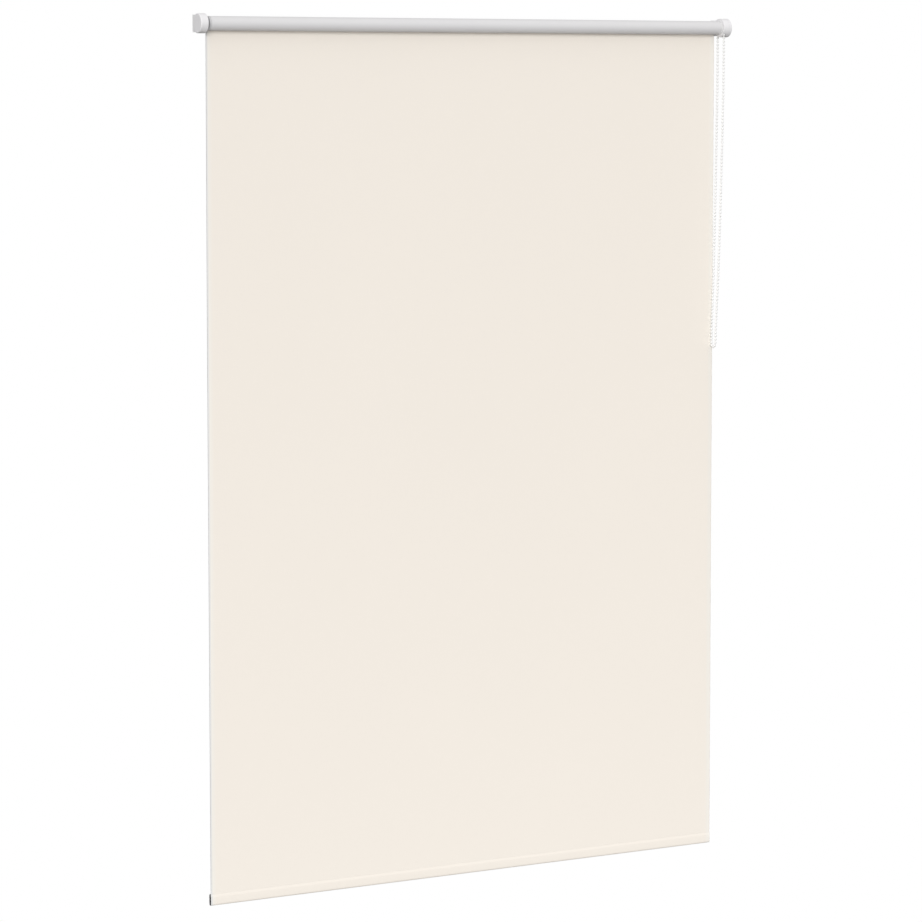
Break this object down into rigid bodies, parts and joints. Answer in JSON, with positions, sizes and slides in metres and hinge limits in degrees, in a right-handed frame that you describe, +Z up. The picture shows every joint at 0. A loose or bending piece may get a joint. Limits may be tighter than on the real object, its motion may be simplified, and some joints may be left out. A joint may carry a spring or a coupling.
{
  "type": "roller blind",
  "caption": "Chain-operated roller blind: cream fabric on a wall-mounted roller tube with round end covers, wrap-spring chain clutch, bead chain loop and weighted hem bar.",
  "frame": {"origin": "on the wall plane, at the centre of the four bracket screws, level with the roller's axis", "axes": "+X to the right as seen from the room, +Y into the wall, +Z up"},
  "size_m": [1.05, 0.0385, 1.5],
  "materials": {
    "bracket_steel": "light powder coat on pressed steel",
    "cover_plastic": "fine satin moulded",
    "core_plastic": "moulded, slightly waxy",
    "bush_plastic": "moulded mid grey",
    "plated_steel": "zinc plated",
    "spring_steel": "drawn wire",
    "tube_aluminium": "extruded, plain",
    "fabric_face": "plain weave polyester, cream",
    "fabric_back": "coated light-grey reverse side",
    "bar_aluminium": "extruded, plain",
    "chain_plastic": "moulded beads on a cord"
  },
  "bodies": {
    "root": {"left_bracket": "bracket_steel", "right_bracket": "bracket_steel", "left_cover": "cover_plastic", "right_cover": "cover_plastic", "drive_housing": "cover_plastic", "clutch_core": "core_plastic", "core_screw": "plated_steel", "fabric_panel": "fabric_face", "chain_on_wheel": "chain_plastic", "chain_loop": "chain_plastic"},
    "roller": {"roller_tube": "tube_aluminium", "fabric_wraps": "fabric_back", "idle_plug": "core_plastic", "idle_bush": "bush_plastic", "idle_spring": "spring_steel", "drive_crown": "core_plastic"},
    "idle_pin": {"idle_pin": "plated_steel"},
    "chain_wheel": {"chain_wheel": "core_plastic", "wrap_springs": "spring_steel"},
    "hem": {"hem_pocket": "fabric_face", "hem_bar": "bar_aluminium"}
  },
  "joints": [
    {"name": "hem_lift", "type": "slide", "parent": "root", "child": "hem", "axis": [0, 0, 1], "range_m": [0, 1.428], "deforming": ["fabric_panel"]},
    {"name": "roller_turn", "type": "hinge", "parent": "root", "child": "roller", "pos_m": [0, -0.022, 0], "axis": [1, 0, 0], "range_deg": [0, 5510]},
    {"name": "chain_wheel_turn", "type": "hinge", "parent": "root", "child": "chain_wheel", "pos_m": [0, -0.022, 0], "axis": [1, 0, 0], "range_deg": [0, 5510]},
    {"name": "idle_pin_press", "type": "slide", "parent": "roller", "child": "idle_pin", "axis": [1, 0, 0], "range_m": [0, 0.008], "stiffness_N_per_m": 400, "springref_m": -0.006, "deforming": ["idle_spring"]}
  ],
  "couplings": [
    {"joint": "roller_turn", "follows": "hem_lift", "rad_per_m": 67.231},
    {"joint": "chain_wheel_turn", "follows": "hem_lift", "rad_per_m": 67.231}
  ]
}
